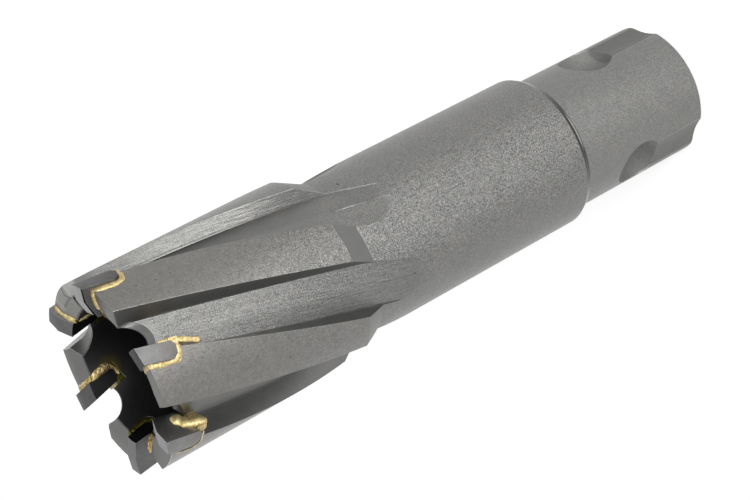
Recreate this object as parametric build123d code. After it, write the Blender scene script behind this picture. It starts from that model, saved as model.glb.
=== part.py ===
from build123d import *
from build123d.topology import SkipClean
import math
import os

# Annular cutter with six brazed carbide tips, standing on its shank end with the teeth up.
# Millimetres and degrees. The origin is the centre of the shank's end face, +Z runs to the teeth.
# Angles round the tool are measured from the front, which is the side toward -Y, and grow
# anticlockwise when the tool is seen from the teeth.
FRONT = -90.0

# How far a cutting shape runs past the metal that it cuts
OVERCUT = 1.0

# Turned outline of the steel body
SHANK_RADIUS = 9.525
SHANK_RIM_CHAMFER = 0.28
SHOULDER_Z = 22.3
SHOULDER_RADIUS = 10.2
BARREL_EDGE_Z = 23.4
BARREL_RADIUS = 10.75
STEP_LOW_Z = 58.65
STEP_HIGH_Z = 62.15
HEAD_RADIUS = 12.5
FRONT_Z = 91.7
FRONT_RIDGE_RADIUS = 11.0
FRONT_INNER_DROP = 0.75
CORE_RADIUS = 8.7
CORE_FLOOR_Z = 32.0
CORE_FLOOR_CHAMFER = 1.5
PILOT_RADIUS = 4.0
PILOT_CHAMFER = 0.6

# Locking pockets and their run-in grooves round the shank
POCKET_COUNT = 3
POCKET_FIRST = 59.4
POCKET_Z = 11.6
POCKET_BALL_RADIUS = 4.15
POCKET_BALL_CENTRE = 10.8
GROOVE_RADIUS = 9.0
GROOVE_FLOOR_RADIUS = 8.75
# The locating band is the shank's round face from here to the shoulder, which only the pockets' tops enter
BAND_Z = 14.5

# Teeth and flutes
TOOTH_COUNT = 6
TOOTH_STEP = 360.0 / TOOTH_COUNT
TRAILING_AT_STEP = -6.9
TRAILING_TWIST = 1.29
TRAILING_FOOT_AT_STEP = -9.7
TRAILING_FOOT_TWIST = 1.244
# Below this height the foot of the trailing wall bends away, as the flute leaves the barrel
FOOT_BEND_Z = 60.0
FOOT_BEND = 0.85
TRAILING_REACH = 2.2
LEADING_AT_STEP = -42.5
LEADING_TWIST = 1.586
MIDDLE_AT_STEP = -26.5
MIDDLE_TWIST = 1.25
# The floor is cut in two passes, and the second one starts this far past the middle, a little deeper
PASS_STEP = 0.8
TWIST_REFERENCE_Z = 62.0
WALL_FOOT_RADIUS = 10.5
FLUTE_OUTER_RADIUS = 14.5
FLUTE_TOP_Z = 95.0
FLUTE_STEP_Z = 3.3
# Rows of the run-out: height, then the floor's radius at the trailing foot, at the end of the first
# pass, at the start of the second one and at the leading foot
RUN_OUT = (
    (50.5, 10.90, 10.95, 11.10, 11.90),
    (52.0, 10.76, 10.78, 10.72, 11.35),
    (53.5, 10.68, 10.68, 10.54, 11.00),
    (55.0, 10.62, 10.58, 10.42, 10.78),
    (57.0, 10.57, 10.42, 10.30, 10.55),
    (59.5, 10.53, 10.26, 10.22, 10.38),
    (62.15, 10.50, 10.22, 10.20, 10.28),
)
FLOOR_RADII = (10.50, 10.22, 10.20, 10.20)

# Gullets, round-bottomed slots through the wall between two teeth
GULLET_RADIUS = 2.5
GULLET_OFFSET = 2.32
GULLET_X = 10.0
GULLET_Z = 91.05
GULLET_SLOPE = 17.5
GULLET_LENGTH = 12.0
GULLET_DEPTH = 6.0

# Carbide tips. The shifts turn each tip a little from its even place, because the real ones are
# brazed by hand and the six don't stand quite evenly. The lifts are how much higher each is ground.
TIP_RAKE = 8.3
TIP_SHIFTS = (-1.3, -4.7, 2.9, 0.4, -0.8, 3.3)
TIP_LIFTS = (0.1, 0.4, 0.0, 0.1, 0.25, 0.4)
# How far each rake face is turned about its outer corner, which sets its inner end ahead
TIP_TURN = 4.5
TIP_THICKNESS = 2.15
TIP_LENGTH = 4.9
TIP_LEAN = 14.0
TIP_INNER_RADIUS = 8.95
TIP_OUTER_RADIUS = 13.0
TIP_TOP_Z = 92.35
TIP_RIDGE_RADIUS = 11.0
TIP_INNER_DROP = 0.75
TIP_RELIEF = 3.0
TIP_CORNER = 0.55
TIP_BLANK_TOP = 2.0

# Seats of the tips, and the braze that fills them
BRAZE_BACK = 0.5
BRAZE_UNDER = 0.5
BRAZE_FRONT = 0.4
BRAZE_INNER_RADIUS = 8.72
BRAZE_OUTER_RADIUS = 12.56
BRAZE_RISE = 0.1
BRAZE_FILLET_HEIGHT = 1.1
SEAT_CORNER = 0.8
SEAT_MARGIN = 2.0
SEAT_TOP = 4.0

# Height of the rings and slabs that trim a tip and its braze, enough for both
TRIM_HEIGHT = 15.0


def polar(radius, angle, z=0.0):
    turn = math.radians(FRONT + angle)
    return (radius * math.cos(turn), radius * math.sin(turn), z)


def turned_body():
    outline = [
        (0.0, 0.0),
        (SHANK_RADIUS - SHANK_RIM_CHAMFER, 0.0),
        (SHANK_RADIUS, SHANK_RIM_CHAMFER),
        (SHANK_RADIUS, BAND_Z),
        (SHANK_RADIUS, SHOULDER_Z),
        (SHOULDER_RADIUS, SHOULDER_Z),
        (BARREL_RADIUS, BARREL_EDGE_Z),
        (BARREL_RADIUS, STEP_LOW_Z),
        (HEAD_RADIUS, STEP_HIGH_Z),
        (HEAD_RADIUS, FRONT_Z),
        (FRONT_RIDGE_RADIUS, FRONT_Z),
        (CORE_RADIUS, FRONT_Z - FRONT_INNER_DROP),
        (CORE_RADIUS, CORE_FLOOR_Z + CORE_FLOOR_CHAMFER),
        (CORE_RADIUS - CORE_FLOOR_CHAMFER, CORE_FLOOR_Z),
        (0.0, CORE_FLOOR_Z),
    ]
    points = [(r, 0.0, z) for r, z in outline]
    profile = make_face(Polyline(*points, close=True))
    return revolve(profile, axis=Axis.Z, clean=False)


def pilot_bore():
    mouth_radius = PILOT_RADIUS + PILOT_CHAMFER + OVERCUT
    points = [
        (0.0, 0.0, -OVERCUT),
        (mouth_radius, 0.0, -OVERCUT),
        (PILOT_RADIUS, 0.0, PILOT_CHAMFER),
        (PILOT_RADIUS, 0.0, CORE_FLOOR_Z + OVERCUT),
        (0.0, 0.0, CORE_FLOOR_Z + OVERCUT),
    ]
    return revolve(make_face(Polyline(*points, close=True)), axis=Axis.Z)


def shank_pocket():
    dimple = Pos(POCKET_BALL_CENTRE, 0, POCKET_Z) * Sphere(POCKET_BALL_RADIUS)
    groove = Cylinder(GROOVE_RADIUS, POCKET_Z + OVERCUT, align=(Align.CENTER, Align.CENTER, Align.MIN))
    groove = Pos(GROOVE_FLOOR_RADIUS + GROOVE_RADIUS, 0, -OVERCUT) * groove
    return dimple + groove


def flute_section(z, trailing_foot, first_pass, second_pass, leading_foot):
    rise = z - TWIST_REFERENCE_Z
    trailing = TRAILING_AT_STEP + TRAILING_TWIST * rise
    foot = TRAILING_FOOT_AT_STEP + TRAILING_FOOT_TWIST * rise
    foot -= FOOT_BEND * max(0.0, FOOT_BEND_Z - z)
    leading = LEADING_AT_STEP + LEADING_TWIST * rise
    centre = MIDDLE_AT_STEP + MIDDLE_TWIST * rise
    base = Vector(*polar(WALL_FOOT_RADIUS, foot, z))
    wall = Vector(*polar(HEAD_RADIUS, trailing, z)) - base
    start = (trailing_foot - WALL_FOOT_RADIUS) / (HEAD_RADIUS - WALL_FOOT_RADIUS)
    points = [
        base + wall * TRAILING_REACH,
        base + wall * start,
        Vector(*polar(first_pass, centre, z)),
        Vector(*polar(second_pass, centre - PASS_STEP, z)),
        Vector(*polar(leading_foot, leading, z)),
        Vector(*polar(FLUTE_OUTER_RADIUS, leading, z)),
    ]
    return Wire.make_polygon(points, close=True)


def flute():
    rows = list(RUN_OUT)
    full_depth_z = RUN_OUT[-1][0]
    steps = round((FLUTE_TOP_Z - full_depth_z) / FLUTE_STEP_Z)
    for k in range(1, steps + 1):
        z = full_depth_z + k * (FLUTE_TOP_Z - full_depth_z) / steps
        rows.append((z,) + FLOOR_RADII)
    wires = [flute_section(*row) for row in rows]
    return Solid.make_loft(wires, ruled=True)


def gullet():
    round_bottom = Cylinder(GULLET_RADIUS, GULLET_LENGTH)
    mouth = Box(
        GULLET_DEPTH, 2 * GULLET_RADIUS, GULLET_LENGTH, align=(Align.MAX, Align.CENTER, Align.CENTER)
    )
    slot = Rot(0, 90 + GULLET_SLOPE, 0) * (round_bottom + mouth)
    return Pos(GULLET_X, GULLET_OFFSET, GULLET_Z) * slot


def leaning(shape):
    """Sets a shape drawn on an upright rake face in its place on the leaning, turned one."""
    leant = Pos(-TIP_OUTER_RADIUS, 0, 0) * Rot(-TIP_LEAN, 0, 0) * shape
    return Pos(TIP_OUTER_RADIUS, 0, TIP_TOP_Z) * Rot(0, 0, -TIP_TURN) * leant


def slab(inner, outer, back, front, low, high):
    size = (outer - inner, front - back, high - low)
    return Pos(inner, back, low) * Box(*size, align=(Align.MIN, Align.MIN, Align.MIN))


def ring(inner_radius, outer_radius, top_z):
    wall = Cylinder(outer_radius, TRIM_HEIGHT) - Cylinder(inner_radius, TRIM_HEIGHT)
    return Pos(0, 0, top_z - TRIM_HEIGHT / 2) * wall


def ground_top(lift):
    """A block whose upper side is the tip's ground top, with its ridge, inner slope and relief."""
    slope = TIP_INNER_DROP / (TIP_RIDGE_RADIUS - TIP_INNER_RADIUS)
    start = TIP_INNER_RADIUS - OVERCUT
    finish = TIP_OUTER_RADIUS + OVERCUT
    profile = [
        (start, 0.0, -TRIM_HEIGHT),
        (finish, 0.0, -TRIM_HEIGHT),
        (finish, 0.0, 0.0),
        (TIP_RIDGE_RADIUS, 0.0, 0.0),
        (start, 0.0, -slope * (TIP_RIDGE_RADIUS - start)),
    ]
    face = make_face(Polyline(*profile, close=True))
    block = extrude(face, amount=TRIM_HEIGHT / 2, both=True, dir=(0, 1, 0))
    return Pos(0, 0, TIP_TOP_Z + lift) * Rot(TIP_RELIEF, 0, 0) * block


def blank():
    inner = TIP_INNER_RADIUS - OVERCUT
    block = slab(inner, TIP_OUTER_RADIUS + OVERCUT, -TIP_THICKNESS, 0.0, -TIP_LENGTH, TIP_BLANK_TOP)
    bottom_edges = block.edges().filter_by(Axis.X).group_by(Axis.Z)[0]
    return leaning(chamfer(bottom_edges, TIP_CORNER))


def tip(lift):
    return blank() & ground_top(lift) & ring(TIP_INNER_RADIUS, TIP_OUTER_RADIUS, TIP_TOP_Z + OVERCUT)


def seat():
    pocket = slab(
        TIP_INNER_RADIUS - SEAT_MARGIN,
        TIP_OUTER_RADIUS + SEAT_MARGIN,
        -TIP_THICKNESS - BRAZE_BACK,
        BRAZE_FRONT,
        -TIP_LENGTH - BRAZE_UNDER,
        SEAT_TOP,
    )
    rear_edge = pocket.edges().filter_by(Axis.X).group_by(Axis.Z)[0].sort_by(Axis.Y)[0]
    return leaning(fillet(rear_edge, SEAT_CORNER))


def braze_limits():
    """A ring as thick as the braze, whose top follows the body's front with its ridge and inner slope."""
    slope = FRONT_INNER_DROP / (FRONT_RIDGE_RADIUS - CORE_RADIUS)
    top = FRONT_Z + BRAZE_RISE
    points = [
        (BRAZE_INNER_RADIUS, 0.0, top - TRIM_HEIGHT),
        (BRAZE_OUTER_RADIUS, 0.0, top - TRIM_HEIGHT),
        (BRAZE_OUTER_RADIUS, 0.0, top),
        (FRONT_RIDGE_RADIUS, 0.0, top),
        (BRAZE_INNER_RADIUS, 0.0, top - slope * (FRONT_RIDGE_RADIUS - BRAZE_INNER_RADIUS)),
    ]
    return revolve(make_face(Polyline(*points, close=True)), axis=Axis.Z)


def braze():
    fillet_top = -TIP_LENGTH - BRAZE_UNDER + BRAZE_FILLET_HEIGHT
    inner = TIP_INNER_RADIUS - SEAT_MARGIN - OVERCUT
    outer = TIP_OUTER_RADIUS + SEAT_MARGIN + OVERCUT
    ahead = leaning(slab(inner, outer, 0.0, BRAZE_FRONT + OVERCUT, fillet_top, SEAT_TOP + OVERCUT))
    return (seat() & braze_limits()) - ahead - blank()


def turned(shape, angle):
    return Rot(0, 0, FRONT + angle) * shape


def tip_angle(k):
    return TIP_RAKE + TIP_SHIFTS[k] + k * TOOTH_STEP


def cutter_body():
    one_pocket = shank_pocket()
    pockets = [turned(one_pocket, POCKET_FIRST + k * 360.0 / POCKET_COUNT) for k in range(POCKET_COUNT)]
    one_flute = flute()
    flutes = [Rot(0, 0, k * TOOTH_STEP) * one_flute for k in range(TOOTH_COUNT)]
    one_gullet = gullet()
    gullets = [turned(one_gullet, k * TOOTH_STEP) for k in range(TOOTH_COUNT)]
    one_seat = seat()
    seats = [turned(one_seat, tip_angle(k)) for k in range(TOOTH_COUNT)]
    # Faces aren't merged here, so that the locating band stays a face of its own
    with SkipClean():
        return turned_body() - [pilot_bore(), *pockets, *flutes, *gullets, *seats]


def main():
    os.makedirs("parts", exist_ok=True)
    body = cutter_body()
    print("body", body.volume, len(body.solids()), body.bounding_box())
    export_step(body, "parts/cutter_body.step")
    one_braze = braze()
    print("braze", one_braze.volume, len(one_braze.solids()))
    for k in range(TOOTH_COUNT):
        one_tip = tip(TIP_LIFTS[k])
        print("tip", k + 1, one_tip.volume, len(one_tip.solids()))
        export_step(turned(one_tip, tip_angle(k)), f"parts/carbide_tip_{k + 1}.step")
        export_step(turned(one_braze, tip_angle(k)), f"parts/braze_joint_{k + 1}.step")


main()
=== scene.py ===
"""Looks of the annular cutter: finishes, braze runs, floor, light and the photograph's camera."""
import math
import random

import bmesh
import bpy
from mathutils import Matrix, Vector


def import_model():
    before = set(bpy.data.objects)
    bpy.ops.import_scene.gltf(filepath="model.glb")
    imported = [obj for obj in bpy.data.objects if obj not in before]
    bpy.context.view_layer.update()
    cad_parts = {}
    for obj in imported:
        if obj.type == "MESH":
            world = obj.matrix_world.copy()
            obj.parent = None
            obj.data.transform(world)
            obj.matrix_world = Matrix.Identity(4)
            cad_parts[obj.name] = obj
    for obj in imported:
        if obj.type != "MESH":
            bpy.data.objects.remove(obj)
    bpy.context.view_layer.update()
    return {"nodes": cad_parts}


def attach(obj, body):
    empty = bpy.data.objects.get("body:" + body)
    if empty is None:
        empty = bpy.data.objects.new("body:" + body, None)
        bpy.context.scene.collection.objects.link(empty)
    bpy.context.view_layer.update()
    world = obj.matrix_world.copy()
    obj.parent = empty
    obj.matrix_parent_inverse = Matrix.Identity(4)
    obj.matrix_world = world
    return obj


MM = 0.001
FRONT = -90.0

# Camera of the photograph
CAMERA_PLACE = (-1.449, -213.364, 168.222)
CAMERA_BELOW_HORIZON = 28.564
CAMERA_ROLL = -118.22
LENS = 90.14
SENSOR = 36.0
CLIP_METRES = (0.01, 20.0)

# Heights and radii of the steel body, in millimetres
SHANK_RADIUS = 9.525
SHOULDER_Z = 22.3
BARREL_EDGE_Z = 23.4
BARREL_RADIUS = 10.75
STEP_LOW_Z = 58.65
STEP_HIGH_Z = 62.15
HEAD_RADIUS = 12.5
FRONT_Z = 91.7
FRONT_RIDGE_RADIUS = 11.0
FRONT_INNER_DROP = 0.75
CORE_RADIUS = 8.7
CORE_FLOOR_Z = 32.0
PILOT_RADIUS = 4.0
FLUTE_END_Z = 50.5
CONE_SLOPE = (HEAD_RADIUS - BARREL_RADIUS) / (STEP_HIGH_Z - STEP_LOW_Z)

# Teeth: the middle of the flute at the front, in degrees, and its twist for each millimetre of height
TOOTH_COUNT = 6
TOOTH_STEP = 360.0 / TOOTH_COUNT
TWIST_REFERENCE_Z = 62.0
FLUTE_MIDDLE = -24.7
FLUTE_TWIST = 1.44
FLOOR_TOP_RADIUS = 10.62

# Tips and their seats, as in the part's source
TIP_RAKE = 8.3
TIP_SHIFTS = (-1.3, -4.7, 2.9, 0.4, -0.8, 3.3)
TIP_TURN = 4.5
TIP_THICKNESS = 2.15
TIP_LENGTH = 4.9
TIP_LEAN = 14.0
TIP_OUTER_RADIUS = 13.0
TIP_TOP_Z = 92.35
BRAZE_GAP = 0.5

# Ramps below are written as from and to, and some have the value at each of these after them. A range has its
# two ends and the width of its borders.

# Width of a border between two surfaces of the steel, in millimetres
SOFT = 0.1

# Borders of the steel's surfaces, as ramps of the radius, the height and the depth below the turned skin
SKIN_DEPTHS = (0.07, 0.03)
CORE_RADII = (CORE_RADIUS + 0.25, CORE_RADIUS + 0.1)
CORE_HEIGHTS = (CORE_FLOOR_Z - 0.5, CORE_FLOOR_Z)
PILOT_RADII = (PILOT_RADIUS + 0.4, PILOT_RADIUS + 0.2)
POCKET_RADII = (SHANK_RADIUS - 0.1, SHANK_RADIUS - 0.2)
WALL_RADII = (FLOOR_TOP_RADIUS, FLOOR_TOP_RADIUS + 0.05)
CUT_HEIGHTS = (FLUTE_END_Z, FLUTE_END_Z + 0.5)
FLUTE_END_HEIGHTS = (STEP_HIGH_Z + 2.0, STEP_LOW_Z)
GULLET_HEIGHTS = (88.5, 87.5)
# Painted shadow: a dark band on the shank just below the shoulder
UNDERCUT_SHADE_HEIGHTS = (SHOULDER_Z - 0.3, SHOULDER_Z - 0.1)
COLLAR_LOW_HEIGHTS = (SHOULDER_Z + 0.02, SHOULDER_Z + 0.1)
COLLAR_HIGH_HEIGHTS = (BARREL_EDGE_Z, BARREL_EDGE_Z - 0.08)

# Base colours of the steel, of the bore, darkened there as painted shade, and of the stain in it, and how
# warm the lands and the stains are
STEEL_COLOUR = (0.199, 0.199, 0.192, 1.0)
WARM_STEEL_COLOUR = (0.203, 0.193, 0.180, 1.0)
BORE_SHADE_COLOUR = (0.1, 0.097, 0.1, 1.0)
BORE_STAIN_COLOUR = (0.2, 0.17, 0.05, 1.0)
LAND_WARMTH = (72.0, 86.0, 0.15, 0.6)
STAIN_WARMTH = (0.0, 0.2, 0.0, 0.35)

# How coarse the blasting is on each surface, with a ramp by height on the lands
SHANK_COARSE = 0.5
LAND_COARSE = (84.0, 64.0, 0.35, 0.75)
COARSE = {"cone": 0.05, "cut": 0.15, "end": 0.6, "lined": 0.7, "collar": 0.0}
BORE_COARSE = 0.15
# Share of it by the angle from the front
COARSE_BY_ANGLE = (50.0, 12.0, 0.38, 0.86)

# Size of the textures, as features in a millimetre, and the shift of the glints against the grit
GRIT_SCALE = 13.0
GLINT_SCALE = 12.5
GLINT_SHIFT = (7.3, 1.9, 4.1)
DENT_SCALE = 13.0
STAIN_SCALE = 0.45
MOTTLE_SCALE = 1.9
# Detail and roughness of the textures, from the cloudy ones to the plain ones
CLOUDY = (3.0, 0.6)
STREAKY = (2.0, 0.6)
PLAIN = (1.0, 0.5)
# The cutter's lines: how fast they change across the flute, along the tool and with the radius
LINE_SCALES = (6.5, 0.3, 2.0)
# Pits: how close they are, how large, and what share of the places has one; the share that shows on the shank
PITS = (0.8, 0.16, 0.35)
PITS_ON_SHANK = 0.5
# Share of a dot's radius that is full, and how far the border between cells with and without one reaches
DOT_CORE = 0.6
DOT_BORDER = 0.02

# Strength of the textures in the tone, the height and the roughness
GRIT_TONE = 1.7
STAIN_TONE = 0.22
MOTTLE_TONE = 0.5
LINE_TONE = 0.8
PIT_TONE = -0.35
EDGE_TONE = 0.35
DENT_HEIGHT = 1.9
GLINT_ROUGHNESS = 0.4
STEEL_BUMP = 0.04
EDGE_RADIUS = 0.12
EDGE_TURN = (0.985, 0.93)
BEVEL_SAMPLES = 6

# Roughness of the steel, and of the surfaces that differ
STEEL_ROUGHNESS = 0.4
ROUGHNESS = {"cone": 0.5, "land": 0.36, "shank": 0.45, "band": 0.5, "pocket": 0.75, "collar": 0.25}

# How much lighter or darker the surfaces and marks are
TONES = {
    "marks": -0.75,
    # Painted shadow on the shank just below the shoulder
    "undercut_shade": -0.55,
    # Painted light over the pockets, and painted shade at the end of the upper pocket and over the lower
    # pocket
    "pocket": 0.13,
    "pocket_end_shade": -0.25,
    "low_pocket_shade": -0.17,
    "land_end": -0.08,
    "band": -0.12,
    # Painted shade along the foot of the second flute's wall
    "rim_shade": -0.35,
    "dome": 1.0,
    "plain_cut": -0.07,
    # Painted shade on the teeth's inner slopes that face up
    "slope": -0.15,
    # Painted shade over the collar, with its painted highlight added below
    "collar": -0.8,
    "shank": 0.07,
}
COLLAR_GLINT_TONE = 1.8

# Small dark marks on the barrel, each one with its angle, height, width and length
SMALL_MARKS = ((48.2, 56.2, 0.3, 0.16), (-36.5, 53.3, 0.08, 0.3))

# Fine crack-like line on the front of the tooth behind the second tip, as radius, angle and height
CRACK_PLACES = ((12.36, 94.5, 91.7), (11.5, 96.0, 91.7), (10.83, 91.2, 91.65), (10.3, 87.8, 91.3))
CRACK_WIDTH = 0.11

# Top of the painted shade at the end of the upper pocket, half the width of its border, and the angles
# between the pockets
POCKET_END_Z = 8.85
POCKET_END_SOFT = 0.15
BETWEEN_POCKETS = (-5.0, 0.0)

# Lower end of the front land, and the ramp of the tone at the lower ends of the flutes
LAND_END_Z = (76.0, 66.0)
LAND_END_ANGLES = (-12.0, 30.0, 8.0)
FLUTE_END_TONE = (61.5, 54.0, 1.04, 0.94)

# The wall of the second flute, and the painted shade on the rim where it meets the floor
BAND_Z = (66.0, 78.0)
RIM_RADII = (10.5, 10.75, 0.1)
RIM_Z = (70.0, 74.0)

# The light front of the tooth behind the second tip
DOME_ANGLES = (84.0, 112.0, 4.0)
DOME_Z = (90.0, 90.6)
DOME_SHARE = (10.2, 10.9, 0.35, 0.8)

# Painted shade on the inner slopes of the two teeth at the front, where they face up
SLOPE_SHADE_ANGLES = (-45.0, 8.0, 3.0)
SLOPE_SHADE_FACING = (0.5, 0.6)

# Painted highlight: the bright strip on the collar
COLLAR_GLINT_ANGLES = (18.0, 6.0)
COLLAR_GLINT_Z = (SHOULDER_Z + 0.25, SHOULDER_Z + 0.45, 0.1)

# The stain in the bore, with its angle, height, width, length and the softness of its edge
BORE_STAIN = (171.0, 88.2, 2.3, 1.9, 0.3)

# How light the ground carbide is on each tip: its outer side, its top and its rake face. These hold painted
# light and shade, which differ from tip to tip as their faces turn to the light.
TIP_OUTER_PAINTED_LIGHT = (0.158, 0.116, 0.220, 0.190, 0.190, 0.200)
TIP_TOP_PAINTED_LIGHT = (0.045, 0.360, 0.138, 0.105, 0.170, 0.300)
TIP_RAKE_PAINTED_LIGHT = (0.120, 0.120, 0.120, 0.120, 0.125, 0.240)
# Painted shade: the sides that face the bore are near black
TIP_INNER_SHADE_TONE = 0.022

# How far the rake faces of the carbide face forwards, the inner sides inwards and the tops up
RAKE_FACING = (0.75, 0.9)
INNER_FACING = (-0.6, -0.8)
TOP_FACING = (0.5, 0.65)

# Tone from which on the carbide throws back as much light at a flat angle as a bright metal
GLANCING_TONE = 0.06

# The stained part of the second tip's top, and the heat tint of the outer sides
STAINED_ANGLES = (40.0, 55.2, 0.8)
TINT_Z = (90.6, 87.4)
TINT_TONE = -0.22
PLAIN_CARBIDE_COLOUR = (1.0, 0.99, 0.985, 1.0)
TINTED_CARBIDE_COLOUR = (1.0, 0.95, 0.89, 1.0)

# Textures of the carbide: their scales and strengths, its roughness and the rounding of its edges
CARBIDE_CLOUD_SCALE = 0.9
CARBIDE_CLOUD_TONE = 0.5
CARBIDE_SPECK_SCALE = 9.0
CARBIDE_SPECK_TONE = 0.12
CARBIDE_GRIND_SCALE = 14.0
CARBIDE_GRIND_HEIGHT = 0.4
CARBIDE_DENT_SCALE = 9.0
CARBIDE_DENT_HEIGHT = 0.5
CARBIDE_ROUGHNESS = 0.36
INNER_ROUGHNESS = 0.5
CARBIDE_BUMP = 0.03
CARBIDE_EDGE_RADIUS = 0.08

# Braze finishes: two colours, roughness, height of the grain in millimetres, and the colour in the bore,
# which is painted shade
BRAZES = {
    "braze_gold": ((0.42, 0.33, 0.14, 1.0), (0.62, 0.51, 0.27, 1.0), 0.52, 0.05, None),
    "braze_grainy": ((0.26, 0.2, 0.06, 1.0), (0.62, 0.48, 0.24, 1.0), 0.45, 0.2, None),
    "braze_pale": ((0.33, 0.3, 0.19, 1.0), (0.46, 0.42, 0.29, 1.0), 0.5, 0.05, None),
    "braze_joint": ((0.4, 0.31, 0.13, 1.0), (0.6, 0.48, 0.26, 1.0), 0.45, 0.1, (0.1, 0.088, 0.015, 1.0)),
    # Braze in painted shade: a dark olive for braze that lies in the shade
    "braze_painted_shade": ((0.07, 0.062, 0.012, 1.0), (0.16, 0.14, 0.02, 1.0), 0.5, 0.1, None),
}
PINK = (0.56, 0.36, 0.27, 1.0)
PINK_SCALE = 0.9
PINK_RAMP = (0.62, 0.7, 0.0, 0.5)
BRAZE_BORE_SHADE_RADII = (9.9, 9.3)

# Textures of the braze: soft clouds and small cells, the ramp from one colour to the other, and the grain
BRAZE_CLOUD_SCALE = 1.1
BRAZE_CLOUD_SHARE = 0.6
BRAZE_CELL_SCALE = 6.0
BRAZE_CELL_SHARE = 0.4
BRAZE_RAMP = (0.3, 0.62)
BRAZE_GRAIN_SCALE = 4.2

# Widths of each tip's braze seam, in millimetres: under the tip and behind it on the outer side, over the
# tooth's front, behind the tip and under it in the bore. A run stops where its width is zero.
SEAM_WIDTHS = (
    (1.00, 0.88, 0.55, 0.32, 0.32),
    (1.05, 1.00, 0.90, 0.00, 0.00),
    (0.95, 0.90, 0.95, 0.85, 0.32),
    (0.65, 0.65, 0.85, 1.35, 0.60),
    (0.70, 0.65, 0.50, 0.30, 0.30),
    (0.42, 0.40, 0.40, 0.30, 0.30),
)

# Knots of a seam, in millimetres: its two radii, where it starts and is full behind the rake face, how far
# others are from the corners of the seat and the tooth's front, and where it turns into the bore or stops
SEAM_OUTER_RADIUS = HEAD_RADIUS - 0.07
SEAM_INNER_RADIUS = CORE_RADIUS + 0.09
SEAM_START = 0.3
SEAM_FULL = 0.7
SEAM_CORNER = 0.6
SEAM_BELOW_FRONT = 0.5
SEAM_ABOVE_FRONT = 0.1
SEAM_TURN = 0.3
SEAM_STOP = 1.2
# Shares of the width at the ends of a seam and where it enters the bore
SEAM_THIN = 0.7
SEAM_ENTRY = 0.8

# Seed of the unevenness of the braze runs, and the seam that is grainy
BRAZE_SEED = 7
GRAINY_SEAM = 3

# Section of a run of braze, its steps in millimetres, and how many steps its direction is blended over
BEAD_SIDES = 14
BEAD_FLATNESS = 0.6
BEAD_STEP = 0.12
FEWEST_STEPS = 4
BLEND_STEPS = 4
# Share of its length at the last point, which is still on the line
LAST_SHARE = 0.999999
# How the corners between its knots are cut, and how narrow its ends are
CORNER_PASSES = 3
CORNER_CUT = 0.25
BEAD_END = 0.03
# Unevenness of its width: fewest and most waves, with their size
BEAD_RIPPLES = ((2, 5, 0.08), (6, 11, 0.07), (13, 23, 0.04))
# Size of the cells of its skin, how strongly the skin is smoothed and, on a seam, how often
VOXEL = 0.06
SMOOTHING_FACTOR = 0.5
SEAM_SMOOTHING = 16

# Farther out than this radius a run lies on the outer side, and this near the front it lies on the front
OUTER_SKIN_RADIUS = 12.1
FRONT_SKIN_DEPTH = 0.2

# Braze that ran out over the steel and the tips, as radius, angle, height and width
STRIP = (
    (12.05, 4.6, 89.4, 0.45),
    (12.07, 3.4, 88.4, 0.75),
    (12.10, 0.5, 86.7, 0.85),
    (12.10, -2.5, 85.4, 0.95),
    (12.10, -5.1, 84.4, 0.85),
)
LUMP = (
    (9.45, -50.8, 89.95, 1.15),
    (9.95, -51.1, 89.75, 1.65),
    (10.65, -51.5, 89.30, 1.75),
    (11.25, -52.2, 88.70, 1.60),
    (11.45, -52.0, 87.95, 1.80),
    (11.75, -52.1, 87.35, 1.90),
    (12.25, -52.8, 87.15, 1.30),
    (12.58, -56.5, 87.35, 0.60),
)
PATCH = (
    (9.23, -115.9, 89.0, 0.55),
    (9.63, -115.3, 89.5, 0.95),
    (10.13, -114.9, 89.9, 0.85),
    (10.62, -114.5, 90.25, 0.70),
    (11.37, -114.7, 90.2, 0.40),
)
FINE_LINE = (
    (12.75, -56.5, 87.40, 0.29),
    (12.66, -58.6, 87.36, 0.29),
    (12.56, -62.7, 87.39, 0.29),
    (12.55, -67.0, 87.41, 0.29),
    (12.55, -69.0, 87.80, 0.29),
    (12.55, -70.6, 88.43, 0.29),
    (12.55, -69.2, 89.35, 0.29),
    (12.55, -67.1, 90.42, 0.28),
    (12.28, -65.6, 91.74, 0.22),
)
# A run of braze in the bore, dark olive as painted shade
SHADED_BRAZE_LINE = (
    (8.79, -127.3, 90.86, 0.42),
    (8.72, -131.0, 88.86, 0.45),
    (8.72, -129.4, 87.55, 0.30),
)

# Smoothing of the normals: the largest angle between faces, and how near corners are that count as one
SMOOTH_ANGLE = 26.0
SAME_CORNER = 0.005
# How near a corner and a normal are to a turned face, and how far up its walls and its cone can face
ON_SURFACE = 0.006
SAME_WAY = 0.97
WALL_FACING_UP = 0.05
CONE_FACING_UP = 0.6

# Floor and surroundings
FLOOR_HALF = 3000.0
FLOOR_COLOUR = (0.8, 0.8, 0.8, 1.0)
FLOOR_GLOW = 0.63
WORLD_LIGHT = 0.05

# Soft boxes: name, azimuth from the front, elevation, size and watts
LAMPS = (
    ("front_low", 4, 9, 220, 2.25),
    ("right_mid", 45, 32, 300, 0.26),
    ("front_high", 0, 60, 350, 0.86),
    ("right_high", 90, 60, 350, 0.35),
    ("right_back", 150, 9, 220, 0.85),
    ("left_back", -135, 9, 220, 0.78),
    ("left_low", -90, 9, 220, 0.2),
    ("top", 0, 90, 350, 0.15),
)
LAMP_DISTANCE = 600.0
LAMP_AIM_Z = 46.0


def polar(radius, angle, z=0.0):
    """Place in metres of a radius, an angle from the front and a height."""
    turn = math.radians(FRONT + angle)
    return Vector((radius * math.cos(turn), radius * math.sin(turn), z)) * MM


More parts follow.
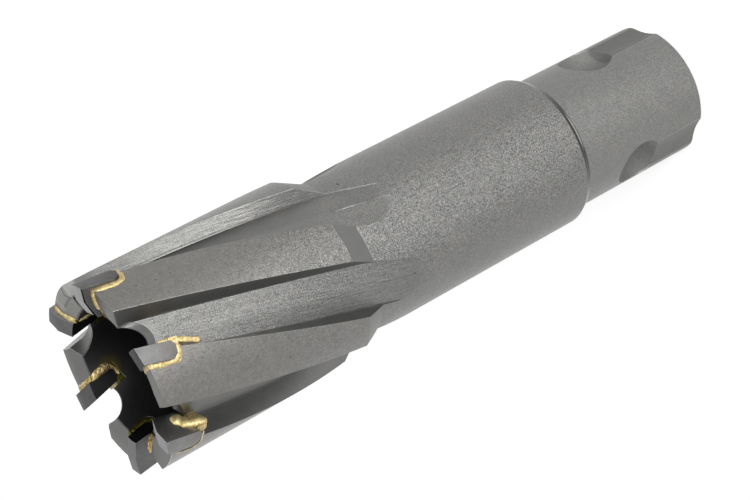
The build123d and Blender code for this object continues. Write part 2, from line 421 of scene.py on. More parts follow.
class Nodes:
    """Short calls that add shader nodes and link them."""

    def __init__(self, tree):
        self.tree = tree
        tree.nodes.clear()

    def new(self, kind, **settings):
        node = self.tree.nodes.new(kind)
        for name, value in settings.items():
            setattr(node, name, value)
        return node

    def feed(self, socket, value):
        if isinstance(value, bpy.types.NodeSocket):
            self.tree.links.new(value, socket)
        else:
            socket.default_value = value

    def math(self, operation, *values, clamp=False):
        node = self.new("ShaderNodeMath", operation=operation, use_clamp=clamp)
        for socket, value in zip(node.inputs, values):
            self.feed(socket, value)
        return node.outputs[0]

    def add(self, first, second):
        return self.math("ADD", first, second)

    def times(self, first, second):
        return self.math("MULTIPLY", first, second)

    def flip(self, share):
        return self.math("SUBTRACT", 1.0, share, clamp=True)

    def line(self, value, slope, start):
        """Slope times the value, plus the start."""
        return self.math("MULTIPLY_ADD", value, slope, start)

    def ramp(self, value, low, high, start=0.0, finish=1.0):
        """Rises smoothly from start to finish as value goes from low to high."""
        node = self.new("ShaderNodeMapRange", interpolation_type="SMOOTHSTEP")
        for socket, number in zip(node.inputs, (value, low, high, start, finish)):
            self.feed(socket, number)
        return node.outputs[0]

    def between(self, value, low, high, soft):
        """One between low and high, with soft ends."""
        return self.times(self.ramp(value, low - soft, low), self.ramp(value, high + soft, high))

    def vector(self, x, y, z):
        node = self.new("ShaderNodeCombineXYZ")
        for socket, value in zip(node.inputs, (x, y, z)):
            self.feed(socket, value)
        return node.outputs[0]

    def vector_math(self, operation, *values):
        node = self.new("ShaderNodeVectorMath", operation=operation)
        for socket, value in zip(node.inputs, values):
            self.feed(socket, value)
        return node.outputs["Value" if operation in ("DOT_PRODUCT", "LENGTH") else "Vector"]

    def noise(self, vector, scale, detail=2.0, roughness=0.5):
        node = self.new("ShaderNodeTexNoise")
        self.feed(node.inputs["Vector"], vector)
        node.inputs["Scale"].default_value = scale
        node.inputs["Detail"].default_value = detail
        node.inputs["Roughness"].default_value = roughness
        return node.outputs[0]

    def voronoi(self, vector, scale):
        """The distance to the middle of each small cell, and random numbers for the cell."""
        node = self.new("ShaderNodeTexVoronoi")
        self.feed(node.inputs["Vector"], vector)
        node.inputs["Scale"].default_value = scale
        parts = self.new("ShaderNodeSeparateColor")
        self.feed(parts.inputs[0], node.outputs["Color"])
        return node.outputs["Distance"], parts.outputs

    def cells(self, vector, scale):
        """A random number in each small cell."""
        return self.voronoi(vector, scale)[1][0]

    def centred(self, value):
        """The value less a half, which brings a texture to both sides of zero."""
        return self.math("SUBTRACT", value, 0.5)

    def xyz(self, vector):
        node = self.new("ShaderNodeSeparateXYZ")
        self.feed(node.inputs[0], vector)
        return node.outputs

    def mix(self, share, first, second):
        node = self.new("ShaderNodeMix", data_type="FLOAT")
        self.feed(node.inputs[0], share)
        self.feed(node.inputs[2], first)
        self.feed(node.inputs[3], second)
        return node.outputs[0]

    def mix_colour(self, share, first, second):
        node = self.new("ShaderNodeMix", data_type="RGBA")
        self.feed(node.inputs[0], share)
        self.feed(node.inputs[6], first)
        self.feed(node.inputs[7], second)
        return node.outputs[2]

    def shade(self, colour, factor):
        """The colour, with each of its channels multiplied by the factor."""
        node = self.new("ShaderNodeVectorMath", operation="SCALE")
        self.feed(node.inputs[0], colour)
        self.feed(node.inputs["Scale"], factor)
        return node.outputs[0]

    def dots(self, vector, scale, size, share):
        """One in round dots of this size, on a share of the cells."""
        distance, numbers = self.voronoi(vector, scale)
        near = self.ramp(distance, size * scale, DOT_CORE * size * scale)
        return self.times(near, self.ramp(numbers[1], share + DOT_BORDER, share))

    def bevel(self, radius):
        """The normal, rounded at edges by a radius in millimetres."""
        node = self.new("ShaderNodeBevel", samples=BEVEL_SAMPLES)
        node.inputs["Radius"].default_value = radius * MM
        return node.outputs[0]

    def bump(self, height, distance, normal=None):
        """The normal of an uneven skin. The height counts in units of the distance, in millimetres."""
        node = self.new("ShaderNodeBump")
        node.inputs["Distance"].default_value = distance * MM
        self.feed(node.inputs["Height"], height)
        if normal is not None:
            self.feed(node.inputs["Normal"], normal)
        return node.outputs[0]


def new_material(name):
    """A material, and the helper that adds its nodes."""
    material = bpy.data.materials.new(name)
    material.use_nodes = True
    return material, Nodes(material.node_tree)


def metal(n, colour, roughness, normal, glancing=None):
    """Makes the material a metal. Glancing is the colour of the light that it throws back at a flat angle."""
    shader = n.new("ShaderNodeBsdfPrincipled")
    shader.inputs["Metallic"].default_value = 1.0
    n.feed(shader.inputs["Base Color"], colour)
    n.feed(shader.inputs["Roughness"], roughness)
    n.feed(shader.inputs["Normal"], normal)
    if glancing is not None:
        n.feed(shader.inputs["Specular Tint"], glancing)
    output = n.new("ShaderNodeOutputMaterial")
    n.feed(output.inputs[0], shader.outputs[0])


class Places:
    """Where a point of the tool is: its place in millimetres, radius, height and angle from the front, the
    number of the nearest flute, and how far it is across from the middle of that flute."""

    def __init__(self, n):
        source = n.new("ShaderNodeTexCoord").outputs["Object"]
        self.place = n.shade(source, 1.0 / MM)
        self.x, self.y, self.z = n.xyz(self.place)
        squares = n.add(n.times(self.x, self.x), n.times(self.y, self.y))
        self.radius = n.math("SQRT", squares)
        self.angle = n.math("DEGREES", n.math("ARCTAN2", self.x, n.times(self.y, -1.0)))
        rise = n.math("SUBTRACT", self.z, TWIST_REFERENCE_Z)
        from_middle = n.math("SUBTRACT", self.angle, n.line(rise, FLUTE_TWIST, FLUTE_MIDDLE))
        self.flute = n.math("ROUND", n.math("DIVIDE", from_middle, TOOTH_STEP))
        turn = n.math("SUBTRACT", from_middle, n.times(self.flute, TOOTH_STEP))
        self.across = n.times(n.math("RADIANS", turn), self.radius)


def is_flute(n, places, number):
    """One in the flute with this number, counted from the front one."""
    away = n.math("ABSOLUTE", n.math("SUBTRACT", places.flute, float(number)))
    return n.ramp(away, 0.6, 0.4)


def spot(n, places, angle, z, width, height, soft=0.5):
    """A small mark at an angle and a height, with soft ends."""
    aside = n.times(n.math("SUBTRACT", places.angle, angle), math.radians(1.0) * BARREL_RADIUS / width)
    above = n.times(n.math("SUBTRACT", places.z, z), 1.0 / height)
    far = n.math("SQRT", n.add(n.times(aside, aside), n.times(above, above)))
    return n.ramp(far, 1.0, soft)


def scratch(n, places, start, end, width):
    """A fine straight line between two places, in millimetres."""
    run = end - start
    offset = n.vector_math("SUBTRACT", places.place, tuple(start))
    share = n.times(n.vector_math("DOT_PRODUCT", offset, tuple(run)), 1.0 / run.length_squared)
    node = n.new("ShaderNodeClamp")
    n.feed(node.inputs[0], share)
    nearest = n.vector_math("SUBTRACT", offset, n.shade(tuple(run), node.outputs[0]))
    return n.ramp(n.vector_math("LENGTH", nearest), width, width / 2)


def steel_regions(n, at):
    """Masks of the steel's surfaces, each one where its surface is."""
    z, radius = at.z, at.radius
    shank = n.ramp(z, SHOULDER_Z + SOFT, SHOULDER_Z - SOFT)
    rise = n.line(z, CONE_SLOPE, -CONE_SLOPE * STEP_LOW_Z)
    rise = n.math("MINIMUM", n.math("MAXIMUM", rise, 0.0), HEAD_RADIUS - BARREL_RADIUS)
    depth = n.math("SUBTRACT", n.add(rise, BARREL_RADIUS), radius)
    skin = n.times(n.ramp(depth, *SKIN_DEPTHS), n.flip(shank))
    core = n.times(n.ramp(radius, *CORE_RADII), n.ramp(z, *CORE_HEIGHTS))
    bore = n.math("MAXIMUM", core, n.ramp(radius, *PILOT_RADII))
    cut = n.times(n.flip(bore), n.ramp(z, *CUT_HEIGHTS))
    cut = n.times(n.flip(skin), cut)
    wall = n.times(cut, n.ramp(radius, *WALL_RADII))
    bottom = n.times(cut, n.ramp(radius, *WALL_RADII[::-1]))
    lined_bottom = n.times(is_flute(n, at, 0), bottom)
    lined = n.math("MAXIMUM", lined_bottom, n.times(is_flute(n, at, 1), wall))
    return {
        "shank": shank,
        "land": n.times(skin, n.ramp(z, STEP_HIGH_Z - SOFT, STEP_HIGH_Z)),
        "cone": n.times(skin, n.between(z, STEP_LOW_Z, STEP_HIGH_Z - SOFT, SOFT)),
        "bore": bore,
        "cut": cut,
        "wall": wall,
        "end": n.times(bottom, n.ramp(z, *FLUTE_END_HEIGHTS)),
        "lined": n.times(lined, n.ramp(z, *GULLET_HEIGHTS)),
        "collar": n.times(n.ramp(z, *COLLAR_LOW_HEIGHTS), n.ramp(z, *COLLAR_HIGH_HEIGHTS)),
        # Painted shadow on the shank just below the shoulder
        "undercut_shade": n.times(shank, n.ramp(z, *UNDERCUT_SHADE_HEIGHTS)),
        "pocket": n.times(shank, n.ramp(radius, *POCKET_RADII)),
    }


def steel_marks(n, at, mask):
    """More masks: marks, and the parts of surfaces that are lighter or darker in the photograph."""
    z = at.z
    facing_up = n.xyz(n.new("ShaderNodeTexCoord").outputs["Normal"])[2]
    marks = 0.0
    for place in SMALL_MARKS:
        marks = n.math("MAXIMUM", marks, spot(n, at, *place))
    crack = [polar(*place) / MM for place in CRACK_PLACES]
    for start, end in zip(crack, crack[1:]):
        marks = n.math("MAXIMUM", marks, scratch(n, at, start, end, CRACK_WIDTH))
    # Painted shade at the end of the upper pocket and over the lower pocket
    pocket_end_shade = n.ramp(z, POCKET_END_Z + POCKET_END_SOFT, POCKET_END_Z - POCKET_END_SOFT)
    upper = n.ramp(at.angle, *BETWEEN_POCKETS)
    in_second = is_flute(n, at, 1)
    # Painted shade where the second flute's wall meets its floor
    rim_shade = n.times(n.times(in_second, mask["cut"]), n.between(at.radius, *RIM_RADII))
    land_end = n.times(n.ramp(z, *LAND_END_Z), n.between(at.angle, *LAND_END_ANGLES))
    dome = n.times(n.ramp(z, *DOME_Z), n.flip(mask["bore"]))
    dome = n.times(n.between(at.angle, *DOME_ANGLES), dome)
    # Painted shade where the teeth's inner slopes face up
    slope = n.times(n.between(at.angle, *SLOPE_SHADE_ANGLES), n.ramp(facing_up, *SLOPE_SHADE_FACING))
    # Painted highlight on the collar near the front
    glint = n.times(mask["collar"], n.ramp(n.math("ABSOLUTE", at.angle), *COLLAR_GLINT_ANGLES))
    return {
        "marks": marks,
        "pocket_end_shade": n.times(n.times(mask["pocket"], pocket_end_shade), upper),
        "low_pocket_shade": n.times(mask["pocket"], n.flip(upper)),
        "land_end": n.times(mask["land"], land_end),
        "band": n.times(n.times(in_second, mask["wall"]), n.ramp(z, *BAND_Z)),
        "rim_shade": n.times(rim_shade, n.ramp(z, *RIM_Z)),
        "dome": n.times(dome, n.ramp(at.radius, *DOME_SHARE)),
        "plain_cut": n.times(mask["cut"], n.flip(mask["lined"])),
        "slope": n.times(slope, n.ramp(at.radius, FRONT_RIDGE_RADIUS + SOFT, FRONT_RIDGE_RADIUS)),
        "collar_glint": n.times(glint, n.between(z, *COLLAR_GLINT_Z)),
    }


def steel_coarseness(n, at, mask):
    """How coarse the blasting is, from zero up."""
    coarse = n.mix(mask["shank"], 1.0, SHANK_COARSE)
    coarse = n.mix(mask["land"], coarse, n.ramp(at.z, *LAND_COARSE))
    for region, value in COARSE.items():
        coarse = n.mix(mask[region], coarse, value)
    away = n.math("ABSOLUTE", at.angle)
    coarse = n.times(coarse, n.ramp(away, *COARSE_BY_ANGLE))
    return n.mix(mask["bore"], coarse, BORE_COARSE)


def cutter_lines(n, at, mask):
    """Fine lines along the flutes that the cutter left."""
    scales = zip((at.across, at.z, at.radius), LINE_SCALES)
    stretched = n.vector(*(n.times(value, scale) for value, scale in scales))
    return n.times(n.centred(n.noise(stretched, 1.0, *STREAKY)), mask["lined"])


def steel_base(n, at, mask, stains):
    """Base colour of the steel: warmer on the lands and in the stains, and dark in the bore as painted shade.
    """
    warm_land = n.times(mask["land"], n.ramp(at.z, *LAND_WARMTH))
    colour = n.mix_colour(warm_land, STEEL_COLOUR, WARM_STEEL_COLOUR)
    colour = n.mix_colour(n.ramp(stains, *STAIN_WARMTH), colour, WARM_STEEL_COLOUR)
    halo = n.times(spot(n, at, *BORE_STAIN), mask["bore"])
    return n.mix_colour(mask["bore"], colour, n.mix_colour(halo, BORE_SHADE_COLOUR, BORE_STAIN_COLOUR))


def steel_normal(n, at, mask, coarse, lines):
    """The normal of the dented skin, and a mask of the edges that it rounds, outside pockets and flutes."""
    dents = n.noise(at.place, DENT_SCALE, *PLAIN)
    height = n.add(n.times(n.times(dents, coarse), DENT_HEIGHT), lines)
    geometry = n.new("ShaderNodeNewGeometry")
    rounded_edges = n.bevel(EDGE_RADIUS)
    inside = n.times(mask["cut"], n.ramp(at.z, *GULLET_HEIGHTS))
    inside = n.math("MAXIMUM", mask["pocket"], inside)
    under_grain = n.mix_colour(inside, rounded_edges, geometry.outputs["Normal"])
    turned = n.vector_math("DOT_PRODUCT", rounded_edges, geometry.outputs["True Normal"])
    edge = n.times(n.ramp(turned, *EDGE_TURN), n.flip(inside))
    return n.bump(height, STEEL_BUMP, under_grain), edge


def steel_tone(n, at, mask, coarse, lines, stains, edge):
    """How light the steel is, as a factor of its base colour."""
    grit = n.centred(n.cells(at.place, GRIT_SCALE))
    mottle = n.centred(n.noise(at.place, MOTTLE_SCALE, *CLOUDY))
    pitted = n.math("MAXIMUM", mask["land"], n.times(mask["shank"], PITS_ON_SHANK))
    pits = n.times(n.dots(at.place, *PITS), pitted)
    tone = n.line(n.times(grit, coarse), GRIT_TONE, 1.0)
    tone = n.add(tone, n.times(stains, STAIN_TONE))
    tone = n.add(tone, n.times(n.times(mottle, mask["land"]), MOTTLE_TONE))
    tone = n.add(tone, n.times(lines, LINE_TONE))
    tone = n.times(tone, n.line(pits, PIT_TONE, 1.0))
    tone = n.add(tone, n.times(edge, EDGE_TONE))
    tone = n.times(tone, n.mix(mask["end"], 1.0, n.ramp(at.z, *FLUTE_END_TONE)))
    for region, change in TONES.items():
        tone = n.times(tone, n.line(mask[region], change, 1.0))
    return n.add(tone, n.times(mask["collar_glint"], COLLAR_GLINT_TONE))


def steel_roughness(n, at, mask, coarse):
    """Roughness of each surface of the steel, with fine glints where it is coarse."""
    roughness = STEEL_ROUGHNESS
    for region, value in ROUGHNESS.items():
        roughness = n.mix(mask[region], roughness, value)
    glint = n.centred(n.cells(n.vector_math("ADD", at.place, GLINT_SHIFT), GLINT_SCALE))
    return n.add(roughness, n.times(n.times(glint, coarse), GLINT_ROUGHNESS))


def steel():
    """Blasted steel, smoother on the shank and the lands, with the cutter's lines in the flutes."""
    material, n = new_material("blasted_steel")
    at = Places(n)
    mask = steel_regions(n, at)
    mask.update(steel_marks(n, at, mask))
    coarse = steel_coarseness(n, at, mask)
    lines = cutter_lines(n, at, mask)
    stains = n.centred(n.noise(at.place, STAIN_SCALE, *CLOUDY))
    normal, edge = steel_normal(n, at, mask, coarse, lines)
    tone = steel_tone(n, at, mask, coarse, lines, stains, edge)
    colour = n.shade(steel_base(n, at, mask, stains), tone)
    metal(n, colour, steel_roughness(n, at, mask, coarse), normal)
    return material


def by_tip(n, places, values):
    """The value that belongs to the nearest tip."""
    number = n.math("ROUND", n.times(places.angle, 1.0 / TOOTH_STEP))
    number = n.math("FLOORED_MODULO", number, float(TOOTH_COUNT))
    total = 0.0
    for k, value in enumerate(values):
        total = n.add(total, n.times(n.math("COMPARE", number, float(k), 0.1), value))
    return total


def carbide():
    """Ground carbide: grey on its ground sides with painted light and shade for each tip, and black on the
    sides that face the bore as painted shade.
    """
    material, n = new_material("carbide")
    at = Places(n)
    nx, ny, nz = n.xyz(n.new("ShaderNodeTexCoord").outputs["Normal"])
    ahead = n.math("SUBTRACT", n.times(at.x, ny), n.times(at.y, nx))
    outward = n.add(n.times(at.x, nx), n.times(at.y, ny))
    rake = n.ramp(n.math("DIVIDE", ahead, at.radius), *RAKE_FACING)
    inner = n.ramp(n.math("DIVIDE", outward, at.radius), *INNER_FACING)
    top = n.ramp(nz, *TOP_FACING)
    outer = n.flip(n.math("MAXIMUM", top, n.math("MAXIMUM", rake, inner)))

    base = n.mix(top, by_tip(n, at, TIP_OUTER_PAINTED_LIGHT), by_tip(n, at, TIP_TOP_PAINTED_LIGHT))
    base = n.mix(rake, base, by_tip(n, at, TIP_RAKE_PAINTED_LIGHT))
    base = n.mix(inner, base, TIP_INNER_SHADE_TONE)
    stained = n.times(n.between(at.angle, *STAINED_ANGLES), top)
    base = n.times(base, n.flip(stained))
    tint = n.times(n.ramp(at.z, *TINT_Z), outer)
    base = n.times(base, n.line(tint, TINT_TONE, 1.0))
    cloud = n.centred(n.noise(at.place, CARBIDE_CLOUD_SCALE, *CLOUDY))
    base = n.times(base, n.line(cloud, CARBIDE_CLOUD_TONE, 1.0))
    speck = n.centred(n.cells(at.place, CARBIDE_SPECK_SCALE))
    base = n.times(base, n.line(speck, CARBIDE_SPECK_TONE, 1.0))
    colour = n.mix_colour(tint, PLAIN_CARBIDE_COLOUR, TINTED_CARBIDE_COLOUR)

    grind = n.noise(n.vector(n.times(at.radius, CARBIDE_GRIND_SCALE), at.z, at.angle), 1.0, *PLAIN)
    dents = n.noise(at.place, CARBIDE_DENT_SCALE, *STREAKY)
    height = n.add(n.times(dents, CARBIDE_DENT_HEIGHT), n.times(grind, CARBIDE_GRIND_HEIGHT))
    normal = n.bump(height, CARBIDE_BUMP, n.bevel(CARBIDE_EDGE_RADIUS))
    roughness = n.mix(inner, CARBIDE_ROUGHNESS, INNER_ROUGHNESS)
    share = n.ramp(base, 0.0, GLANCING_TONE)
    metal(n, n.shade(colour, base), roughness, normal, n.vector(share, share, share))
    return material


def braze(name, low, high, roughness, grain, inside):
    """Braze alloy between two colours, with copper-pink spots. Inside is its colour in the bore, darkened as
    painted shade, or None.
    """
    material, n = new_material(name)
    at = Places(n)
    cloud = n.times(n.noise(at.place, BRAZE_CLOUD_SCALE), BRAZE_CLOUD_SHARE)
    cloud = n.add(cloud, n.times(n.cells(at.place, BRAZE_CELL_SCALE), BRAZE_CELL_SHARE))
    colour = n.mix_colour(n.ramp(cloud, *BRAZE_RAMP), low, high)
    pink = n.ramp(n.noise(at.place, PINK_SCALE), *PINK_RAMP)
    colour = n.mix_colour(pink, colour, PINK)
    if inside is not None:
        colour = n.mix_colour(n.ramp(at.radius, *BRAZE_BORE_SHADE_RADII), colour, inside)
    metal(n, colour, roughness, n.bump(n.noise(at.place, BRAZE_GRAIN_SCALE), grain))
    return material


def turned_normal(place, normal):
    """The true normal of a turned face at a place on it, in millimetres, or None off the turned faces."""
    radius = math.hypot(place.x, place.y)
    if radius < PILOT_RADIUS / 2 or abs(normal.z) > CONE_FACING_UP:
        return None
    outward = Vector((place.x / radius, place.y / radius, 0.0))
    if abs(normal.z) < WALL_FACING_UP:
        for wall in (SHANK_RADIUS, BARREL_RADIUS, HEAD_RADIUS):
            if abs(radius - wall) < ON_SURFACE and normal.dot(outward) > SAME_WAY:
                return outward
        for wall in (CORE_RADIUS, PILOT_RADIUS):
            if abs(radius - wall) < ON_SURFACE and normal.dot(outward) < -SAME_WAY:
                return -outward
    on_cone = BARREL_RADIUS + CONE_SLOPE * (place.z - STEP_LOW_Z)
    beside_cone = STEP_LOW_Z - ON_SURFACE < place.z < STEP_HIGH_Z + ON_SURFACE
    if beside_cone and abs(radius - on_cone) < ON_SURFACE:
        slanted = (outward - Vector((0.0, 0.0, CONE_SLOPE))).normalized()
        if normal.dot(slanted) > SAME_WAY:
            return slanted
    return None


def smooth_normals(piece):
    """True normals on the turned faces, and mean ones on the rest where faces meet at a small angle."""
    mesh = piece.data
    cosine = math.cos(math.radians(SMOOTH_ANGLE))
    normals = [None] * len(mesh.loops)
    places = {}
    for polygon in mesh.polygons:
        corners = [mesh.vertices[mesh.loops[loop].vertex_index].co / MM for loop in polygon.loop_indices]
        exact = [turned_normal(corner, polygon.normal) for corner in corners]
        if all(normal is not None for normal in exact):
            for loop, normal in zip(polygon.loop_indices, exact):
                normals[loop] = normal
            continue
        for loop, corner in zip(polygon.loop_indices, corners):
            key = tuple(round(c / SAME_CORNER) for c in corner)
            places.setdefault(key, []).append((loop, polygon.normal.copy(), polygon.area))
    for corners in places.values():
        for loop, own, _ in corners:
            total = Vector()
            for _, other, area in corners:
                if own.dot(other) > cosine:
                    total += other * area
            normals[loop] = total.normalized() if total.length > 0 else own
    mesh.normals_split_custom_set(normals)


def dress(piece, material):
    """Gives the piece this material alone."""
    piece.data.materials.clear()
    piece.data.materials.append(material)


def tip_place(k, radius, ahead, along=None, z=None):
    """Place in metres of a point beside tip k: its radius, how far it is ahead of the rake face, and how
    far along the tip it is from the top, or its height."""
    lean = math.radians(TIP_LEAN)
    turn = math.radians(TIP_TURN)
    if along is None:
        along = (z - TIP_TOP_Z + ahead * math.sin(lean)) / math.cos(lean)
    aside = ahead * math.cos(lean) + along * math.sin(lean)
    up = TIP_TOP_Z - ahead * math.sin(lean) + along * math.cos(lean)
    inward = radius - TIP_OUTER_RADIUS
    x = TIP_OUTER_RADIUS + inward * math.cos(turn) + aside * math.sin(turn)
    y = -inward * math.sin(turn) + aside * math.cos(turn)
    angle = TIP_RAKE + TIP_SHIFTS[k] + k * TOOTH_STEP + math.degrees(math.atan2(y, x))
    return polar(radius, angle, up)


def rounded(points):
    """Cuts the corners of a line, so that it turns smoothly."""
    for _ in range(CORNER_PASSES):
        cut = [points[0]]
        for first, second in zip(points, points[1:]):
            cut.append(first.lerp(second, CORNER_CUT))
            cut.append(first.lerp(second, 1.0 - CORNER_CUT))
        points = cut + [points[-1]]
    return points


def evenly(points, step):
    """Points on the line at an even distance, each with its share of the way."""
    lengths = [(b - a).length for a, b in zip(points, points[1:])]
    total = sum(lengths)
    count = max(FEWEST_STEPS, round(total / step))
    places = []
    passed, i = 0.0, 0
    for k in range(count + 1):
        want = min(total * k / count, total * LAST_SHARE)
        while passed + lengths[i] < want:
            passed += lengths[i]
            i += 1
        share = (want - passed) / lengths[i]
        places.append((points[i].lerp(points[i + 1], share), k / count))
    return places


def ripple(share, waves):
    """A smooth, uneven number near one, which comes back to its start as share goes from 0 to 1."""
    value = 1.0
    for turns, size, start in waves:
        value += size * math.sin(2 * math.pi * (turns * share + start))
    return value


def knot(place, width):
    """A point of a braze run with its width, in millimetres."""
    return Vector((*place, width * MM))


def off_the_skin(place):
    """The direction away from the steel on the outer side, on the teeth's fronts and in the bore."""
    radius = math.hypot(place.x, place.y)
    outward = Vector((place.x, place.y, 0.0)) / radius
    if radius > OUTER_SKIN_RADIUS * MM:
        return outward
    if place.z > (front_z(radius / MM) - FRONT_SKIN_DEPTH) * MM:
        return Vector((0.0, 0.0, 1.0))
    return -outward


def off_the_rake(place):
    """The direction away from a rake face, which is the way round the tool."""
    return Vector((-place.y, place.x, 0.0)).normalized()


def bead(name, knots, rng, off, smoothing):
    """A flat rounded run of braze through knots, with round ends. Off gives the way up from the face."""
    waves = [(rng.randint(low, high), size, rng.random()) for low, high, size in BEAD_RIPPLES]
    run = evenly(rounded(knots), BEAD_STEP * MM)
    places = [p.xyz for p, _ in run]
    reach = [0.0]
    for before, after in zip(places, places[1:]):
        reach.append(reach[-1] + (after - before).length)
    ups = [off(place) for place in places]
    turns = [2 * math.pi * s / BEAD_SIDES for s in range(BEAD_SIDES)]
    points = []
    for i, (point, share) in enumerate(run):
        tangent = (places[min(i + 1, len(places) - 1)] - places[max(i - 1, 0)]).normalized()
        up = sum(ups[max(0, i - BLEND_STEPS):i + BLEND_STEPS + 1], Vector())
        up = (up - tangent * up.dot(tangent)).normalized()
        side = tangent.cross(up)
        radius = point.w / 2 * ripple(share, waves)
        to_end = min(reach[i], reach[-1] - reach[i]) / radius
        radius *= math.sqrt(max(BEAD_END, 1.0 - max(0.0, 1.0 - to_end) ** 2))
        for turn in turns:
            points.append(places[i] + (side * math.cos(turn) + up * math.sin(turn) * BEAD_FLATNESS) * radius)
    piece = new_piece(name, points, tube_faces(len(run), BEAD_SIDES))
    soften(piece, smoothing)
    return piece


def tube_faces(rings, sides):
    """Faces of a closed tube through rings of points."""
    faces = []
    for first in range(0, (rings - 1) * sides, sides):
        for s in range(sides):
            t = (s + 1) % sides
            faces.append((first + s, first + t, first + sides + t, first + sides + s))
    last = (rings - 1) * sides
    faces.append(tuple(range(sides))[::-1])
    faces.append(tuple(range(last, last + sides)))
    return faces


def soften(piece, smoothing):
    """Joins the parts of a run that cross each other into one even skin, and smooths it."""
    remesh = piece.modifiers.new("skin", "REMESH")
    remesh.mode = "VOXEL"
    remesh.voxel_size = VOXEL * MM
    smooth = piece.modifiers.new("smooth", "SMOOTH")
    smooth.factor = SMOOTHING_FACTOR
    smooth.iterations = smoothing
    graph = bpy.context.evaluated_depsgraph_get()
    skin = bpy.data.meshes.new_from_object(piece.evaluated_get(graph))
    piece.modifiers.clear()
    piece.data = skin
    for polygon in skin.polygons:
        polygon.use_smooth = True


def new_piece(name, points, faces):
    """A smooth piece of the scene from its points and faces, with its normals outwards."""
    mesh = bpy.data.meshes.new(name)
    mesh.from_pydata(points, [], faces)
    mesh.update()
    work = bmesh.new()
    work.from_mesh(mesh)
    bmesh.ops.recalc_face_normals(work, faces=work.faces)
    work.to_mesh(mesh)
    work.free()
    for polygon in mesh.polygons:
        polygon.use_smooth = True
    piece = bpy.data.objects.new(name, mesh)
    bpy.context.scene.collection.objects.link(piece)
    return piece


def front_z(radius):
    """Height of the teeth's fronts at a radius."""
    slope = FRONT_INNER_DROP / (FRONT_RIDGE_RADIUS - CORE_RADIUS)
    return FRONT_Z - slope * max(0.0, FRONT_RIDGE_RADIUS - radius)


def seam(k, rng):
    """The rounded run of braze that follows the edge of the tip's seat on its hidden sides."""
    back = -TIP_THICKNESS - BRAZE_GAP / 2
    low = -TIP_LENGTH - BRAZE_GAP / 2
    under, behind, over, bore_behind, bore_under = SEAM_WIDTHS[k]
    outer, inner = SEAM_OUTER_RADIUS, SEAM_INNER_RADIUS
    turn_in = inner + (SEAM_TURN if bore_behind else SEAM_STOP)
    knots = [
        knot(tip_place(k, outer, -SEAM_START, along=low), under * SEAM_THIN),
        knot(tip_place(k, outer, -SEAM_FULL, along=low), under),
        knot(tip_place(k, outer, back + SEAM_CORNER, along=low), under),
        knot(tip_place(k, outer, back, along=low + SEAM_CORNER), behind),
        knot(tip_place(k, outer, back, z=front_z(outer) - SEAM_BELOW_FRONT), behind),
        knot(tip_place(k, outer - SEAM_TURN, back, z=front_z(outer) + SEAM_ABOVE_FRONT), over),
        knot(tip_place(k, turn_in, back, z=front_z(turn_in) + SEAM_ABOVE_FRONT), over),
    ]
    if bore_behind:
        knots += [
            knot(tip_place(k, inner, back, z=front_z(inner) - SEAM_BELOW_FRONT), bore_behind * SEAM_ENTRY),
            knot(tip_place(k, inner, back, along=low + SEAM_FULL), bore_behind),
            knot(tip_place(k, inner, back + SEAM_CORNER, along=low), bore_under),
            knot(tip_place(k, inner, -SEAM_FULL, along=low), bore_under),
            knot(tip_place(k, inner, -SEAM_START, along=low), bore_under * SEAM_THIN),
        ]
    return bead(f"braze_seam_{k + 1}", knots, rng, off_the_skin, SEAM_SMOOTHING)


def braze_runs(finishes):
    """The seams round the tips and the braze that ran out over the steel and the tips."""
    rng = random.Random(BRAZE_SEED)
    pieces = []
    for k in range(TOOTH_COUNT):
        pieces.append((seam(k, rng), "braze_grainy" if k == GRAINY_SEAM else "braze_gold"))
    for name, places, off, smoothing, finish in (
        ("braze_strip", STRIP, off_the_skin, 30, "braze_gold"),
        ("braze_fine_line", FINE_LINE, off_the_skin, 4, "braze_pale"),
        ("braze_lump", LUMP, off_the_rake, 60, "braze_gold"),
        ("braze_patch", PATCH, off_the_rake, 10, "braze_grainy"),
        ("braze_line", SHADED_BRAZE_LINE, off_the_skin, 6, "braze_painted_shade"),
    ):
        knots = [knot(polar(radius, angle, z), width) for radius, angle, z, width in places]
        pieces.append((bead(name, knots, rng, off, smoothing), finish))
    for piece, finish in pieces:
        dress(piece, finishes[finish])
        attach(piece, "root")


def floor():
    """A plain white floor that keeps the shadow."""
    mesh = bpy.data.meshes.new("floor")
    half = FLOOR_HALF * MM
    corners = [(-half, -half, 0), (half, -half, 0), (half, half, 0), (-half, half, 0)]
    mesh.from_pydata(corners, [], [(0, 1, 2, 3)])
    piece = bpy.data.objects.new("floor", mesh)
    bpy.context.scene.collection.objects.link(piece)
    material, n = new_material("floor")
    paper = n.new("ShaderNodeBsdfDiffuse")
    paper.inputs["Color"].default_value = FLOOR_COLOUR
    glow = n.new("ShaderNodeEmission")
    n.feed(glow.inputs["Strength"], n.times(seen_ray(n), FLOOR_GLOW))
    both = n.new("ShaderNodeAddShader")
    n.feed(both.inputs[0], paper.outputs[0])
    n.feed(both.inputs[1], glow.outputs[0])
    output = n.new("ShaderNodeOutputMaterial")
    n.feed(output.inputs[0], both.outputs[0])
    mesh.materials.append(material)


def seen_ray(n):
    """One for rays from the camera, and for those that metal or glass sends on."""
    path = n.new("ShaderNodeLightPath")
    seen = n.math("MAXIMUM", path.outputs["Is Camera Ray"], path.outputs["Is Glossy Ray"])
    return n.math("MAXIMUM", seen, path.outputs["Is Transmission Ray"])


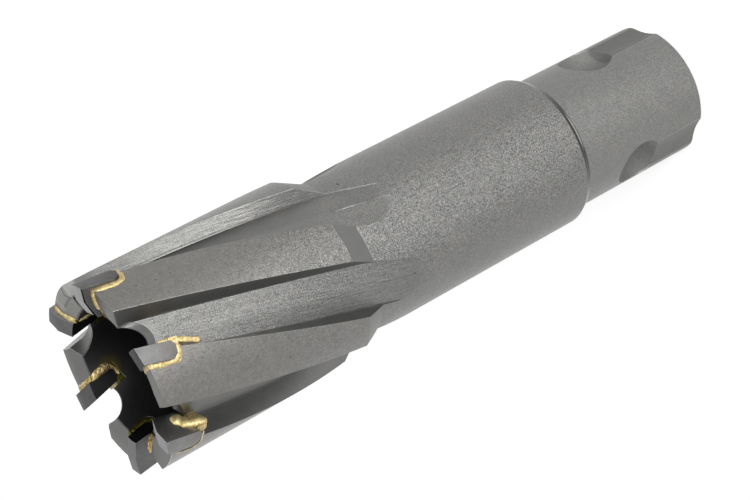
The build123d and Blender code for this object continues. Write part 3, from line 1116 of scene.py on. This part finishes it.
def world():
    """White surroundings to look at, which give only a little light."""
    scene = bpy.context.scene
    scene.world = bpy.data.worlds.new("studio")
    scene.world.use_nodes = True
    n = Nodes(scene.world.node_tree)
    light = n.new("ShaderNodeBackground")
    light.inputs["Strength"].default_value = WORLD_LIGHT
    white = n.new("ShaderNodeBackground")
    both = n.new("ShaderNodeMixShader")
    n.feed(both.inputs[0], seen_ray(n))
    n.feed(both.inputs[1], light.outputs[0])
    n.feed(both.inputs[2], white.outputs[0])
    output = n.new("ShaderNodeOutputWorld")
    n.feed(output.inputs[0], both.outputs[0])


def soft_box(name, azimuth, elevation, distance, size, power):
    """An area light that looks at the middle of the tool. Azimuth is measured from the front."""
    middle = Vector((0, 0, LAMP_AIM_Z * MM))
    flat = math.cos(math.radians(elevation))
    direction = polar(1.0 / MM, azimuth) * flat + Vector((0, 0, math.sin(math.radians(elevation))))
    light = bpy.data.lights.new(name, "AREA")
    light.shape = "DISK"
    light.size = size * MM
    light.energy = power
    lamp = bpy.data.objects.new(name, light)
    lamp.location = middle + direction * distance * MM
    lamp.rotation_mode = "QUATERNION"
    lamp.rotation_quaternion = (-direction).to_track_quat("-Z", "Y")
    bpy.context.scene.collection.objects.link(lamp)


def camera():
    """The camera of the photograph."""
    data = bpy.data.cameras.new("camera")
    data.sensor_fit = "HORIZONTAL"
    data.sensor_width = SENSOR
    data.lens = LENS
    data.clip_start, data.clip_end = CLIP_METRES
    view = bpy.data.objects.new("camera", data)
    tilt = Matrix.Rotation(math.radians(90.0 - CAMERA_BELOW_HORIZON), 4, "X")
    roll = Matrix.Rotation(math.radians(CAMERA_ROLL), 4, "Z")
    view.matrix_world = Matrix.Translation(Vector(CAMERA_PLACE) * MM) @ tilt @ roll
    bpy.context.scene.collection.objects.link(view)
    bpy.context.scene.camera = view


def main():
    """Dresses the part, adds the braze that ran out and sets up floor, light and camera."""
    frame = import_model()
    bpy.context.scene.view_settings.view_transform = "Standard"
    steel_finish, carbide_finish = steel(), carbide()
    finishes = {name: braze(name, *values) for name, values in BRAZES.items()}
    for name, node in frame["nodes"].items():
        smooth_normals(node)
        if name.startswith("carbide_tip"):
            dress(node, carbide_finish)
        elif name.startswith("braze_joint"):
            dress(node, finishes["braze_joint"])
        else:
            dress(node, steel_finish)
    braze_runs(finishes)
    floor()
    world()
    for name, azimuth, elevation, size, watts in LAMPS:
        soft_box(name, azimuth, elevation, LAMP_DISTANCE, size, watts)
    camera()


main()
